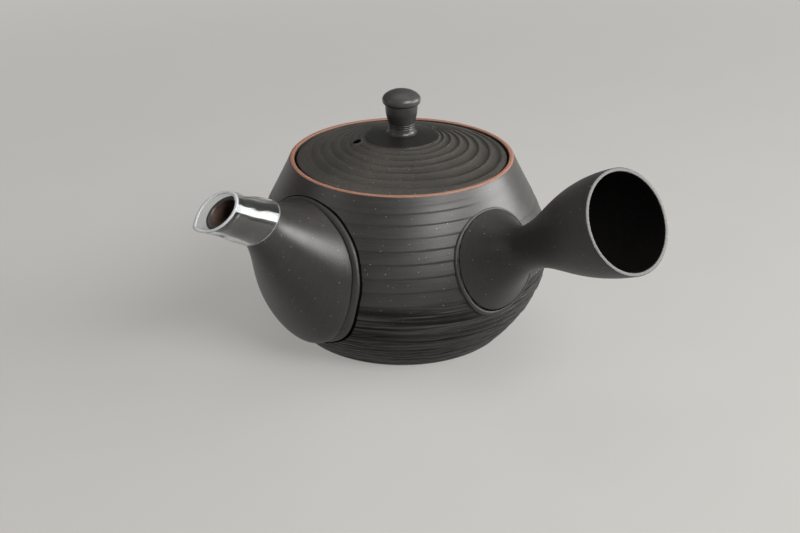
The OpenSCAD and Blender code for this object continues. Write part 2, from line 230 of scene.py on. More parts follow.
# Clear guard on the tip
GUARD_FRONT = TIP_LEN + 2.95
GUARD_BACK_R = 8.66
GUARD_FRONT_R = 7.72
GUARD_BACK_SLANT = math.radians(21.3)
GUARD_FRONT_SLANT = math.radians(25.2)
GUARD_WALL = 1.0
GUARD_BEVEL = 0.15
GUARD_ROWS = 60
# Places and widths along the guard are shares of its length
GUARD_WAIST = 0.35
GUARD_WAIST_AT = 0.62
GUARD_WAIST_W = 0.2
GUARD_BEAK = 0.95
GUARD_BEAK_LEN = 0.16
GUARD_BEAK_TURN = math.radians(-64)
GUARD_BEAK_W = 0.34
GUARD_BEAK_CURVE = 1.5

# Handle, from its seam on the wall to the open end
HANDLE_TURN = math.radians(88.7)
HANDLE_Z = BODY_H - 23.4
HANDLE_TILT = math.radians(29.4)
HANDLE_OUT = outwards(HANDLE_TILT)
HANDLE_RISE = upwards(HANDLE_TILT)
HANDLE_LEN = 62.8
HANDLE_BASE_R = 16.8
HANDLE_NECK_R = 7.6
HANDLE_NECK_AT = 15.5
HANDLE_END_R = 17.3
HANDLE_WALL = 2.6
HANDLE_LIP = 1.3
HANDLE_END_ROUND = 0.22
HANDLE_BOW = 1.1
FOOT_PULL = 0.8
# Shares of the trumpet's length where it starts to open and where it is nearly full
TRUMPET_START = 0.3
TRUMPET_FULL = 0.5
# Rows of the foot and of the trumpet, inside and outside
HOLLOW_ROWS = (20, 50)
OUTSIDE_ROWS = (50, 70)
# Painted shade inside the handle's hollow
HOLLOW_PAINTED_SHADE = 0.85
HANDLE_LIP_BURNISH = 0.6

# Slip beads round the two seams, each as rows of its distance out from the seam, its height above
# the wall and its share of painted shade. A tooled crease runs outside the spout's bead and inside
# the handle's, and painted shade darkens it.
SPOUT_BEAD = np.array([(-0.7, -0.5, 0), (-0.7, 0.4, 0), (-0.5, 0.85, 0), (-0.15, 1.05, 0),
    (0.3, 1.15, 0), (0.9, 1.12, 0), (1.35, 0.95, 0), (1.6, 0.6, 0.1), (1.68, 0.25, 1),
    (1.7, 0.04, 1), (2.25, 0.04, 1), (2.3, -0.6, 1)])
HANDLE_BEAD = np.array([(0.1, -0.5, 1), (0.25, 0.0, 1), (0.35, 0.35, 0.3), (0.55, 0.65, 0),
    (0.85, 0.78, 0), (1.25, 0.76, 0), (1.55, 0.55, 0), (1.7, 0.25, 0), (1.75, 0.0, 0),
    (1.75, -0.5, 0)])
# Turn at which each bead is fullest, towards the space between spout and handle
SPOUT_BEAD_FULL = math.radians(165)
HANDLE_BEAD_FULL = math.radians(-15)
SPOUT_BEAD_SEED = 21
HANDLE_BEAD_SEED = 31
# Shares of the height and of the width that are left on a bead's thin side, the cosine off its
# fullest turn at which it is full, and its unevenness
BEAD_THIN = 0.25
BEAD_NARROW = 0.3
BEAD_FULL_COSINE = 0.8
BEAD_SWELL, BEAD_SWELL_TURNS = 0.12, 14
BEAD_DRIFT, BEAD_DRIFT_TURNS = 0.12, 9


# Curves and surfaces

def bezier(points, n):
    """n points of a cubic bezier curve: four control points weighted by the Bernstein cubics."""
    t = np.linspace(0, 1, n)[:, None]
    p = np.asarray(points, float)
    return ((1 - t)**3 * p[0] + 3 * (1 - t)**2 * t * p[1]
        + 3 * (1 - t) * t**2 * p[2] + t**3 * p[3])


def rounded(start, corner, end):
    """Five points round a corner: a bezier curve that is drawn halfway towards the corner."""
    start, corner, end = np.array(start), np.array(corner), np.array(end)
    return bezier([start, (start + corner) / 2, (corner + end) / 2, end], 5)


def hermite(start, end, leaving, arriving, t):
    """Cubic that leaves start along one vector and arrives at end along another, at shares t."""
    return ((2 * t**3 - 3 * t**2 + 1) * start + (3 * t**2 - 2 * t**3) * end
        + (t**3 - 2 * t**2 + t) * leaving + (t**3 - t**2) * arriving)


def line(start, end, n):
    """n points at even steps between two points."""
    return np.linspace(start, end, n)


def smooth_step(low, high, x):
    """0 below low and 1 above high, joined by the cubic 3t^2 - 2t^3."""
    t = np.clip((x - low) / (high - low), 0, 1)
    return t * t * (3 - 2 * t)


def hump(x, width):
    """Bell curve of height 1 round 0: e to the minus square of x over the width."""
    return np.exp(-(x / width)**2)


def waver(turn, along, seed, turns, climb=0.0, waves=28):
    """Hand-made unevenness between about -1 and 1: the mean of sine waves, each of whole turns
    round the piece and a slow climb along it, with their phases drawn from a seeded generator."""
    draw = np.random.default_rng(seed)
    whole = draw.integers(1, turns, waves)
    rate = draw.normal(0, climb, waves)
    phase = draw.uniform(0, TURN, waves)
    angle = whole * turn[..., None] + rate * along[..., None] + phase
    return np.sin(angle).mean(axis=-1) * math.sqrt(waves) / 2


FORM = np.vstack([
    bezier([(BASE_R, 0), (BASE_R + (BELLY_R - BASE_R) * 2 / 3, BELLY_Z / 3),
        (BELLY_R, BELLY_Z * 2 / 3), (BELLY_R, BELLY_Z)], FORM_N),
    bezier([(BELLY_R, BELLY_Z), (BELLY_R, BELLY_Z + BELLY_REACH),
        (RIM_R + SHOULDER_SLOPE * SHOULDER_REACH, BODY_H - SHOULDER_REACH),
        (RIM_R, BODY_H)], FORM_N)[1:]])


def form_radius(z):
    """Radius of the pot's full form at height z, read off its two bezier curves."""
    return np.interp(z, FORM[:, 1], FORM[:, 0])


def ring_columns(n):
    """n turns, evenly spread round a whole circle."""
    return np.arange(n) * TURN / n


def all_round(per_row, columns):
    """Grid with one value for each row, the same in every column."""
    return np.repeat(np.asarray(per_row, float)[:, None], columns, axis=1)


def seam(z, tilt, half_w, half_h, halvings=40):
    """Oval tube, tilted up, where it meets the pot's wall: each line of the tube is followed from
    inside the pot and halved down to the point where its radius is the form's."""
    turn = ring_columns(LOFT_N)
    out = outwards(tilt)
    start = (np.array([-form_radius(z), 0.0, z]) - BASE_R * out
        + (half_w * np.cos(turn))[:, None] * SIDEWAYS
        + (half_h * np.sin(turn))[:, None] * upwards(tilt))
    near = np.zeros(LOFT_N)
    far = np.full(LOFT_N, 2 * BELLY_R)
    for _ in range(halvings):
        middle = (near + far) / 2
        point = start + middle[:, None] * out
        inside = np.hypot(point[:, 0], point[:, 1]) < form_radius(point[:, 2])
        near = np.where(inside, middle, near)
        far = np.where(inside, far, middle)
    return start + middle[:, None] * out


def turned_about_z(points, turn):
    """Points turned about the pot's axis."""
    c, s = math.cos(turn), math.sin(turn)
    return points @ np.array([[c, s, 0], [-s, c, 0], [0, 0, 1]])


def revolve(radius, height, turn):
    """Surface of revolution: a radius and a height for each row and column, swung about Z."""
    return np.stack([radius * np.cos(turn), radius * np.sin(turn), height + 0 * turn], axis=-1)


def along_rows(grid):
    """Mean length run along the rows of a grid, for each row."""
    steps = np.linalg.norm(np.diff(grid, axis=0), axis=-1).mean(axis=1)
    return np.concatenate([[0], np.cumsum(steps)])


def skin(name, grid, first=None, last=None, loop=False, **marks):
    """Mesh of a grid of points. Columns close round the piece. The ends close on a pole each, or
    the last row joins the first. Each vertex keeps its turn round the piece as a point on a circle
    of the piece's mean radius, with its run along the rows as height, and the marks given."""
    rows, columns = grid.shape[:2]
    above = np.arange(rows if loop else rows - 1)[:, None]
    beside = np.arange(columns)[None, :]
    after = (beside + 1) % columns
    over = (above + 1) % rows
    quads = np.stack([above * columns + beside, above * columns + after,
        over * columns + after, over * columns + beside], axis=-1).reshape(-1, 4)
    points = grid.reshape(-1, 3)
    run = along_rows(grid)
    turn = ring_columns(columns)
    girth = np.linalg.norm(grid - grid.mean(axis=1, keepdims=True), axis=-1).mean()
    turned = np.stack(np.broadcast_arrays(
        girth * np.cos(turn), girth * np.sin(turn), run[:, None]), axis=-1).reshape(-1, 3)
    faces = quads.tolist()
    for pole, row, order in ((first, 0, -1), (last, rows - 1, 1)):
        if pole is not None:
            edge = row * columns + np.stack([beside[0], after[0]], axis=-1)[:, ::order]
            faces += np.column_stack([np.full(columns, len(points)), edge]).tolist()
            points = np.vstack([points, pole])
            turned = np.vstack([turned, (0, 0, run[row])])
            marks = {key: np.append(value, np.ravel(value)[row * columns])
                for key, value in marks.items()}
    mesh = bpy.data.meshes.new(name)
    mesh.from_pydata((points * MM).tolist(), [], faces)
    mesh.attributes.new("turned", "FLOAT_VECTOR", "POINT").data.foreach_set(
        "vector", turned.ravel())
    for key, value in marks.items():
        mesh.attributes.new(key, "FLOAT", "POINT").data.foreach_set("value", np.ravel(value))
    mesh.shade_smooth()
    mesh.update()
    piece = bpy.data.objects.new(name, mesh)
    bpy.context.scene.collection.objects.link(piece)
    return piece


def bore(piece, start, end, radius, near=0.04):
    """Cuts a round hole of that radius, from start to end, through a piece, and paints shade on its
    wall: the points whose distance from the hole's axis comes near to its radius."""
    turn = ring_columns(HOLE_N)
    axis = np.subtract(end, start)
    length = np.linalg.norm(axis)
    side = np.cross(axis, (axis[1], axis[2], axis[0]))
    side = side / np.linalg.norm(side)
    other = np.cross(axis / length, side)
    ring = radius * (np.cos(turn)[:, None] * side + np.sin(turn)[:, None] * other)
    cutter = skin("cutter", np.stack([start + ring, end + ring]),
        first=np.array(start), last=np.array(end))
    cut = piece.modifiers.new("bore", "BOOLEAN")
    cut.operation = "DIFFERENCE"
    cut.solver = "EXACT"
    cut.object = cutter
    bored = piece.evaluated_get(bpy.context.evaluated_depsgraph_get())
    mesh = bpy.data.meshes.new_from_object(bored)
    piece.modifiers.clear()
    piece.data = mesh
    bpy.data.objects.remove(cutter)
    points = np.empty(3 * len(mesh.vertices))
    mesh.vertices.foreach_get("co", points)
    points = points.reshape(-1, 3) / MM - start
    along = points @ axis / length
    away = np.linalg.norm(points - along[:, None] * axis / length, axis=1)
    soot = np.empty(len(points))
    mesh.attributes["soot"].data.foreach_get("value", soot)
    soot[(np.abs(away - radius) < near) & (along > 0) & (along < length)] = 1
    mesh.attributes["soot"].data.foreach_set("value", soot)


def place(piece, body, node, material):
    """Gives a piece its material and body, and hides the CAD node that it stands in for."""
    piece.data.materials.clear()
    piece.data.materials.append(material)
    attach(piece, body)
    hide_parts(node)


# Pieces

def throwing_rings(z, turn):
    """Depth of the wall below its full form, and the marks that go with it. The rings are a
    saw-tooth of the ring count, which also climbs by one in each turn: the wall draws in from a
    ridge up to the dark line under the next ridge, and comes out again within a short lip, and
    painted shade follows the same saw-tooth, darkest at that line. Finer grooves run round the
    lower wall."""
    count = (RING_START + RING_RATE * z + RING_CLOSING * z**2 - turn / TURN
        + RING_SWAY * waver(turn, z, **RING_SWAY_WAVES)
        + RING_TREMBLE * waver(turn, z, **RING_TREMBLE_WAVES))
    share = count % 1
    tooth = np.where(share < 1 - RING_LIP, share / (1 - RING_LIP), (1 - share) / RING_LIP)
    strength = np.random.default_rng(RING_DRAW_SEED).uniform(*RING_STRENGTH, RING_DRAWS)
    strength = strength[np.floor(count).astype(int)]
    height = RING_DEPTH * (strength + RING_SWELL * waver(turn, z, **RING_SWELL_WAVES))
    # The shoulder was burnished, so the upper rings show only between spout and handle
    between = smooth_step(*RUBBED_LESS_COSINE, np.cos(turn - RUBBED_LESS_TURN))
    burnish = smooth_step(*SHOULDER_BURNISH, z) * (1 - RUBBED_LESS * between)
    fade = (1 - BURNISH_LEVELS * burnish) * (1 - smooth_step(*RING_TOP, z))
    rings = (np.clip(height, RING_DEPTH_LEAST, None) * tooth**RING_CURVE * fade
        * smooth_step(*RING_FOOT, z))
    sway = GROOVE_SWAY * waver(turn, z, **GROOVE_SWAY_WAVES)
    fine = 0.5 + 0.5 * np.sin(TURN * (z / GROOVE_PITCH + sway))
    ragged = 0.5 + 0.5 * waver(turn, z, **GROOVE_RAGGED_WAVES)
    lower = 1 - smooth_step(*GROOVE_TOP, z)
    grooves = (GROOVE_DEPTH * lower * smooth_step(*GROOVE_FOOT, z)
        * (GROOVE_FINE * fine**3 + GROOVE_RAGGED * np.clip(ragged, 0, 1)))
    # Painted shade follows each ring's saw-tooth, and the lower wall is marked for painted shade
    # and relief
    return rings + grooves, {"crest": tooth * fade, "lower_wall": lower, "burnish": burnish}


def make_pot(material):
    """Pot turned from one outline: base, wall, rim, lid seat, corbel, cavity and floor."""
    wall_z = np.linspace(BASE_ROUND, BODY_H - RIM_ROUND, WALL_ROWS)
    wall = np.column_stack([form_radius(wall_z), wall_z])
    base = np.vstack([line((2, 0), (BASE_R - BASE_ROUND, 0), 6),
        bezier([(BASE_R - BASE_ROUND, 0), (BASE_R - BASE_ROUND / 3, 0), (BASE_R, 0.1),
            wall[0]], 4)[1:-1]])
    rim_in = RIM_R - RIM_T
    rim = np.vstack([
        rounded((RIM_R, BODY_H - RIM_ROUND), (RIM_R, BODY_H), (RIM_R - RIM_ROUND, BODY_H))[1:],
        rounded((rim_in + RIM_ROUND, BODY_H), (rim_in, BODY_H), (rim_in, BODY_H - RIM_ROUND))])
    corner_r = form_radius(FLOOR_T + FLOOR_CORNER) - WALL_T
    cavity_z = np.linspace(CORBEL_Z, FLOOR_T + FLOOR_CORNER, CAVITY_ROWS)
    cavity = np.column_stack([form_radius(cavity_z) - WALL_T, cavity_z])
    hollow = np.vstack([
        line((rim_in, SEAT_Z + 0.4), (rim_in - 0.4, SEAT_Z), 3),
        bezier([(SEAT_R + 0.6, SEAT_Z), (SEAT_R + 0.2, SEAT_Z), (SEAT_R, SEAT_Z - 0.2),
            (SEAT_R, SEAT_Z - 0.6)], 5),
        bezier([(SEAT_R, SEAT_Z - SEAT_T), (SEAT_R + 1, SEAT_Z - SEAT_T - 2),
            (cavity[0, 0], CORBEL_Z + 2), cavity[0]], 8),
        cavity[1:],
        bezier([cavity[-1], (corner_r - 1, FLOOR_T + 2), (corner_r - 3, FLOOR_T),
            (corner_r - 9, FLOOR_T)], 9)[1:],
        line((corner_r * 0.6, FLOOR_T), (2, FLOOR_T), 5)])
    outline = np.vstack([base, wall, rim, hollow])
    turn, z = np.meshgrid(ring_columns(TURNED_N), outline[:, 1])
    on_wall = slice(len(base), len(base) + len(wall))
    inside = np.arange(len(outline)) >= len(outline) - len(hollow)
    depth = np.zeros_like(turn)
    depth[on_wall], wall_marks = throwing_rings(z[on_wall], turn[on_wall])
    depth[inside] = (CAVITY_RING_DEPTH * (z[inside] < CORBEL_Z)
        * np.sin(TURN * z[inside] / CAVITY_RING_PITCH - turn[inside]))
    grid = revolve(outline[:, :1] - depth, outline[:, 1:], turn)
    past_wall = ((len(base), len(rim) + len(hollow)), (0, 0))
    marks = {key: np.pad(value, past_wall) for key, value in wall_marks.items()}
    bare = np.where(inside, CAVITY_BARE, smooth_step(*RIM_BARE, outline[:, 1]))
    pot = skin("pot_form", grid, first=np.zeros(3), last=np.array([0, 0, FLOOR_T]),
        bare=all_round(bare, TURNED_N), soot=np.zeros_like(turn), **marks)
    # The port's bored wall gets painted shade
    bore(pot, (PORT_FROM, 0, PORT_Z), (PORT_TO, 0, PORT_Z), PORT_R)
    place(pot, "pot", "body", material)


def make_lid(material):
    """Lid turned from one outline. The steps on its crown are a saw-tooth of the ring count from
    the smooth band inwards, with a small raised lip round the vent hole."""
    slope = (BOSS_Z - LID_EDGE_Z) / (LID_R - BOSS_R)
    flange_in = FLANGE_R - FLANGE_T
    crown_r = np.linspace(LID_R - LID_ROUND, BOSS_R + 0.35, CROWN_ROWS)
    crown = np.column_stack([crown_r, LID_EDGE_Z + slope * (LID_R - crown_r)])
    under = np.vstack([
        line((2, BOSS_Z - LID_T), (BOSS_R, BOSS_Z - LID_T), 4),
        line((flange_in, LID_EDGE_Z + slope * (LID_R - flange_in) - LID_T),
            (flange_in, FLANGE_Z + 0.5), 6),
        bezier([(flange_in, FLANGE_Z + 0.5), (flange_in + 0.1, FLANGE_Z),
            (FLANGE_R - 0.1, FLANGE_Z), (FLANGE_R, FLANGE_Z + 0.5)], 8)[1:],
        line((FLANGE_R, FLANGE_Z + 1.5), (FLANGE_R, SEAT_Z), 3),
        line((FLANGE_R + 0.8, SEAT_Z), (LID_R - 0.3, SEAT_Z), 3),
        line((LID_R, SEAT_Z + 0.3), (LID_R, LID_EDGE_Z - 0.6), 4),
        bezier([(LID_R, LID_EDGE_Z - 0.6), (LID_R, LID_EDGE_Z - 0.1), (LID_R - 0.1, LID_EDGE_Z),
            crown[0]], 6)[1:-1]])
    boss = np.vstack([
        bezier([(BOSS_R + 0.15, BOSS_Z - 0.4), (BOSS_R + 0.05, BOSS_Z - 0.1), (BOSS_R, BOSS_Z),
            (BOSS_R - 0.4, BOSS_Z + 0.07)], 5),
        line((BOSS_R - 1, BOSS_Z + 0.18), (BOSS_TOP_R, KNOB_Z), 8),
        line((4, KNOB_Z), (2, KNOB_Z), 2)])
    outline = np.vstack([under, crown, boss])
    turn, r = np.meshgrid(ring_columns(TURNED_N), outline[:, 0])
    part = all_round(np.repeat((0, 1, 2), (len(under), len(crown), len(boss))), TURNED_N)
    on_crown, on_boss = 1.0 * (part == 1), 1.0 * (part == 2)
    inwards = np.clip((r - BOSS_R) / (BAND_R - BOSS_R), 0, None)
    count = (LID_STEPS * (1 - inwards**LID_CLOSING) + turn / TURN
        + LID_SWAY * waver(turn, r, **LID_SWAY_WAVES)
        + LID_TREMBLE * waver(turn, r, **LID_TREMBLE_WAVES))
    share = count % 1
    tooth = np.where(share < LID_FACE, share / LID_FACE, (1 - share) / (1 - LID_FACE))
    fade = smooth_step(0.0, 0.4, count) * smooth_step(BOSS_R, BOSS_R + 1, r)
    full = (0.55 + 0.45 * np.cos(turn - LID_FULL_TURN)
        + LID_SWELL * waver(turn, r, **LID_SWELL_WAVES))
    step = np.clip(full, *LID_FULL_RANGE) * smooth_step(0, 1, tooth) * fade * on_crown
    vent = VENT_AT * np.array([math.cos(VENT_TURN), math.sin(VENT_TURN)])
    away = np.hypot(r * np.cos(turn) - vent[0], r * np.sin(turn) - vent[1])
    depth = (LID_STEP * step * smooth_step(*VENT_CLEAR, away)
        - VENT_LIP_H * on_crown * hump(away - VENT_LIP_R, VENT_LIP_W))
    grid = revolve(r, outline[:, 1:] - depth, turn)
    # Painted shade in the steps, and painted shade and dark reflection on the boss
    lid = skin("lid_form", grid,
        first=np.array([0, 0, BOSS_Z - LID_T]), last=np.array([0, 0, KNOB_Z]),
        crest=LID_STEP_SHADE * step, polish=on_boss, burnish=BOSS_BURNISH * on_boss,
        soot=np.zeros_like(turn))
    # The vent hole's bored wall gets painted shade
    bore(lid, (vent[0], vent[1], SEAT_Z), (vent[0], vent[1], VENT_TOP), VENT_R)
    place(lid, "lid", "lid", material)


def make_knob(material):
    """Knob turned from one outline: foot flare, waisted stem with three fine grooves, cap and
    dome. Each groove is a bell curve of the height."""
    shank_r = (KNOB_STEM_R + KNOB_CAP_R) / 2
    height = KNOB_TOP - KNOB_Z
    cap_z = KNOB_STEM_H + KNOB_CAP_FULL
    outline = np.vstack([
        line((1, -KNOB_SUNK), (KNOB_FOOT_R - 0.1, -KNOB_SUNK), 3),
        bezier([(KNOB_FOOT_R, -0.04), (KNOB_STEM_R + 0.45, 0.1),
            (KNOB_STEM_R + 0.05, KNOB_FLARE_H / 3), (KNOB_STEM_R, KNOB_FLARE_H)], 16),
        bezier([(KNOB_STEM_R, KNOB_FLARE_H), (KNOB_STEM_R, KNOB_STEM_H / 2),
            (shank_r, KNOB_STEM_H / 2), (shank_r, KNOB_STEM_H - 0.5)], 120)[1:],
        bezier([(shank_r, KNOB_STEM_H - 0.5), (shank_r, KNOB_STEM_H - 0.1),
            (shank_r + 0.3, KNOB_STEM_H), (KNOB_CAP_R - 0.5, KNOB_STEM_H + 0.05)], 8)[1:],
        bezier([(KNOB_CAP_R - 0.5, KNOB_STEM_H + 0.05), (KNOB_CAP_R - 0.1, KNOB_STEM_H + 0.1),
            (KNOB_CAP_R, KNOB_STEM_H + 0.6), (KNOB_CAP_R, cap_z)], 12)[1:],
        bezier([(KNOB_CAP_R, cap_z), (KNOB_CAP_R, (cap_z + height) / 2),
            (KNOB_CAP_R / 2, height), (0.4, height)], 40)[1:]])
    turn, z = np.meshgrid(ring_columns(KNOB_N), outline[:, 1])
    lines = hump(z[None] - KNOB_LINES[:, None, None], KNOB_LINE_W).sum(axis=0)
    grid = revolve(outline[:, :1] - KNOB_LINE_DEPTH * lines, z + KNOB_Z, turn)
    # Painted shade in the grooves and down the stem under the cap
    knob = skin("knob_form", grid,
        first=np.array([0, 0, KNOB_Z - KNOB_SUNK]), last=np.array([0, 0, KNOB_TOP]),
        crest=KNOB_LINE_SHADE * np.clip(lines, 0, 1),
        polish=KNOB_PAINTED_SHADE * (1 - smooth_step(*KNOB_PAINTED_SHADE_TOP, z)),
        burnish=np.full_like(turn, KNOB_BURNISH))
    place(knob, "lid", "knob", material)


def tip_ring(along, radius, slant=LIP_SLANT):
    """Rings across the tip on a slant, one for each distance from the neck and its radius."""
    turn = ring_columns(LOFT_N)
    along, radius = np.asarray(along, float)[:, None], np.asarray(radius, float)
    radius = radius if radius.ndim == 2 else radius[:, None]
    forward = along - radius * np.sin(turn) * np.tan(slant)
    return (NECK + forward[..., None] * TIP_OUT + (radius * np.sin(turn))[..., None] * TIP_RISE
        + (radius * np.cos(turn))[..., None] * SIDEWAYS)


def tip_radius(along):
    """Radius of the tip: a straight taper, drawn in by a parabola between the neck and the lip."""
    t = along / TIP_LEN
    return NECK_R + (LIP_R - NECK_R) * t - 4 * TIP_WAIST * t * (1 - t)


def spout_skin(base_in, tip_in, full, rows):
    """One skin of the spout: a hermite blend from the seam to the neck, fuller on its underside,
    and then the tip."""
    turn = ring_columns(LOFT_N)
    foot = seam(SPOUT_Z, SPOUT_TILT, SPOUT_HALF_W - base_in, SPOUT_HALF_H - base_in)
    top = tip_ring([0.0], [NECK_R - tip_in])[0]
    span = np.linalg.norm(top - foot, axis=1)[:, None]
    pull = full * (BELL_LOW + (BELL_TOP - BELL_LOW) * (1 + np.sin(turn)) / 2)[:, None]
    share = np.linspace(0, 1, rows)[:, None, None]
    bell = hermite(foot, top, pull * span * BELL_OUT, NECK_PULL * span * TIP_OUT, share)
    along = np.linspace(0, TIP_LEN - LIP_WALL / 2, TIP_ROWS)[1:]
    return np.concatenate([bell, tip_ring(along, tip_radius(along) - tip_in)])


def make_spout(material):
    """Spout: its channel from the wall to the lip, the lip's half round, and its outside back."""
    bend = np.linspace(0, math.pi, LIP_ROWS)[1:-1]
    half = LIP_WALL / 2
    lip = tip_ring(TIP_LEN - half + half * np.sin(bend), LIP_R - half - half * np.cos(bend))
    channel = spout_skin(SPOUT_WALL, LIP_WALL, CHANNEL_FULL, CHANNEL_ROWS)
    outside = spout_skin(0, 0, 1, BELL_ROWS)
    grid = np.concatenate([channel, lip, outside[::-1]])
    row = np.arange(len(grid))
    at_seam, at_neck = SPOUT_BURNISH
    near_neck = smooth_step(0, SPOUT_BURNISH_ROWS, len(grid) - row)
    spout = skin("spout_form", grid, loop=True,
        burnish=all_round(at_seam + (at_neck - at_seam) * near_neck, LOFT_N),
        bare=all_round(CHANNEL_BARE * (row < len(channel)), LOFT_N))
    place(spout, "pot", "spout", material)


def make_bead(node, rows, full_at, joint, turn, seed, material):
    """Bead of slip on the wall: its rows follow seams that are a little wider each time, lifted off
    the wall. It is full on one side, thin on the other, and uneven as a hand leaves it."""
    z, tilt, half_w, half_h = joint
    column = ring_columns(LOFT_N)
    level = np.zeros(LOFT_N)
    full = BEAD_THIN + (1 - BEAD_THIN) * smooth_step(0, BEAD_FULL_COSINE, np.cos(column - full_at))
    full = full * (1 + BEAD_SWELL * waver(column, level, seed, BEAD_SWELL_TURNS))
    drift = BEAD_DRIFT * waver(column, level, seed + 1, BEAD_DRIFT_TURNS)
    rings = []
    for across, height, _ in rows:
        across = across * (BEAD_NARROW + (1 - BEAD_NARROW) * full) + drift
        ring = seam(z, tilt, half_w + across, half_h + across)
        out = ring * (1, 1, 0)
        out = out / np.linalg.norm(out, axis=1)[:, None]
        lift = height * full if height > 0 else np.full(LOFT_N, height)
        rings.append(ring + lift[:, None] * out)
    grid = turned_about_z(np.stack(rings[::-1]), turn)
    # The rows' share of painted shade darkens the tooled crease
    bead = skin(node + "_form", grid, loop=True, soot=all_round(rows[::-1, 2], LOFT_N))
    place(bead, "pot", node, material)


def handle_ring(along, radius):
    """Rings round the handle's middle line, which bows upwards by a parabola."""
    turn = ring_columns(LOFT_N)
    along = np.asarray(along, float)[:, None, None]
    radius = np.asarray(radius, float)[:, None, None]
    t = along / HANDLE_LEN
    middle = (np.array([-form_radius(HANDLE_Z), 0.0, HANDLE_Z]) + along * HANDLE_OUT
        + 4 * HANDLE_BOW * t * (1 - t) * HANDLE_RISE)
    return middle + radius * (np.cos(turn)[:, None] * SIDEWAYS
        + np.sin(turn)[:, None] * HANDLE_RISE)


def handle_skin(base_in, end_in, foot_rows, trumpet_rows):
    """One skin of the handle: a hermite blend from the seam to the neck, then a bezier trumpet."""
    neck_r = HANDLE_NECK_R - base_in
    end_r = HANDLE_END_R - end_in
    end_at = HANDLE_LEN - HANDLE_END_ROUND
    opening = end_at - HANDLE_NECK_AT
    foot = seam(HANDLE_Z, HANDLE_TILT, HANDLE_BASE_R - base_in, HANDLE_BASE_R - base_in)
    top = handle_ring([HANDLE_NECK_AT], [neck_r])[0]
    pull = FOOT_PULL * np.linalg.norm(top - foot, axis=1)[:, None]
    inwards = top.mean(axis=0) - foot
    inwards = inwards / np.linalg.norm(inwards, axis=1)[:, None]
    share = np.linspace(0, 1, foot_rows)[:, None, None]
    flare = hermite(foot, top, pull * inwards, pull * HANDLE_OUT, share)
    trumpet = bezier([(neck_r, HANDLE_NECK_AT), (neck_r, HANDLE_NECK_AT + opening * TRUMPET_START),
        (end_r, HANDLE_NECK_AT + opening * TRUMPET_FULL), (end_r, end_at)], trumpet_rows)[1:]
    return np.concatenate([flare, handle_ring(trumpet[:, 1], trumpet[:, 0])])


def make_handle(material):
    """Handle: its hollow from the wall to the open end, the end's flat lip with small rounds, and
    its outside back."""
    edge = HANDLE_END_ROUND
    inner_r = HANDLE_END_R - HANDLE_LIP
    lip = np.vstack([
        rounded((inner_r, HANDLE_LEN - edge), (inner_r, HANDLE_LEN),
            (inner_r + edge, HANDLE_LEN))[1:],
        rounded((HANDLE_END_R - edge, HANDLE_LEN), (HANDLE_END_R, HANDLE_LEN),
            (HANDLE_END_R, HANDLE_LEN - edge))[:-1]])
    hollow = handle_skin(HANDLE_WALL, HANDLE_LIP, *HOLLOW_ROWS)
    outside = handle_skin(0, 0, *OUTSIDE_ROWS)
    grid = np.concatenate([hollow, handle_ring(lip[:, 1], lip[:, 0]), outside[::-1]])
    past_hollow = np.arange(len(grid)) - len(hollow)
    on_lip = (past_hollow >= 0) & (past_hollow <= len(lip))
    # Painted shade inside the hollow, and burnish on the lip
    handle = skin("handle_form", turned_about_z(grid, HANDLE_TURN), loop=True,
        soot=all_round(HOLLOW_PAINTED_SHADE * (past_hollow < 0), LOFT_N),
        burnish=all_round(HANDLE_LIP_BURNISH * on_lip, LOFT_N))
    place(handle, "pot", "handle", material)


def guard_skin(inset, trim, rows):
    """One skin of the guard, trimmed at both ends: a taper, less a bell curve at its waist, and
    with a pointed lobe at the front, where the beak is."""
    share = np.linspace(0, 1, rows)
    along = trim + (GUARD_FRONT - 2 * trim) * share
    taper = GUARD_BACK_R + (GUARD_FRONT_R - GUARD_BACK_R) * share
    waist = GUARD_WAIST * hump(share - GUARD_WAIST_AT, GUARD_WAIST_W)
    off_beak = (ring_columns(LOFT_N) - GUARD_BEAK_TURN + math.pi) % TURN - math.pi
    lobe = np.exp(-np.abs(off_beak / GUARD_BEAK_W)**GUARD_BEAK_CURVE)
    beak = GUARD_BEAK * hump(share - 1, GUARD_BEAK_LEN)[:, None] * lobe
    slant = GUARD_BACK_SLANT + (GUARD_FRONT_SLANT - GUARD_BACK_SLANT) * share
    return tip_ring(along, (taper - waist - inset)[:, None] + beak, slant[:, None])


def make_guard(material):
    """Clear guard: a tapered tube drawn in before its front end, cut on a slant at both ends, with
    a small beak low on one side of its front."""
    inner_ends = guard_skin(GUARD_WALL - GUARD_BEVEL, 0, 2)
    outer_ends = guard_skin(GUARD_BEVEL, 0, 2)
    grid = np.concatenate([
        inner_ends[:1], guard_skin(GUARD_WALL, GUARD_BEVEL, GUARD_ROWS), inner_ends[1:],
        outer_ends[1:], guard_skin(0, GUARD_BEVEL, GUARD_ROWS)[::-1], outer_ends[:1]])
    # The front's cut reaches round its bevels, and half of it shows on the next rows
    front = GUARD_ROWS + 1
    cut = np.zeros(len(grid))
    cut[[0, front - 1, front, front + 1, front + 2, -1]] = 1
    cut[[front - 2, front + 3]] = 0.5
    guard = skin("spout_guard_form", grid, loop=True, cut=all_round(cut, LOFT_N))
    place(guard, "guard", "spout_guard", material)


# Materials

def linear(code):
    """Linear colour of an sRGB hex value."""
    parts = [int(code[i:i + 2], 16) / 255 for i in (1, 3, 5)]
    return [c / 12.92 if c <= 0.04045 else ((c + 0.055) / 1.055)**2.4 for c in parts] + [1]


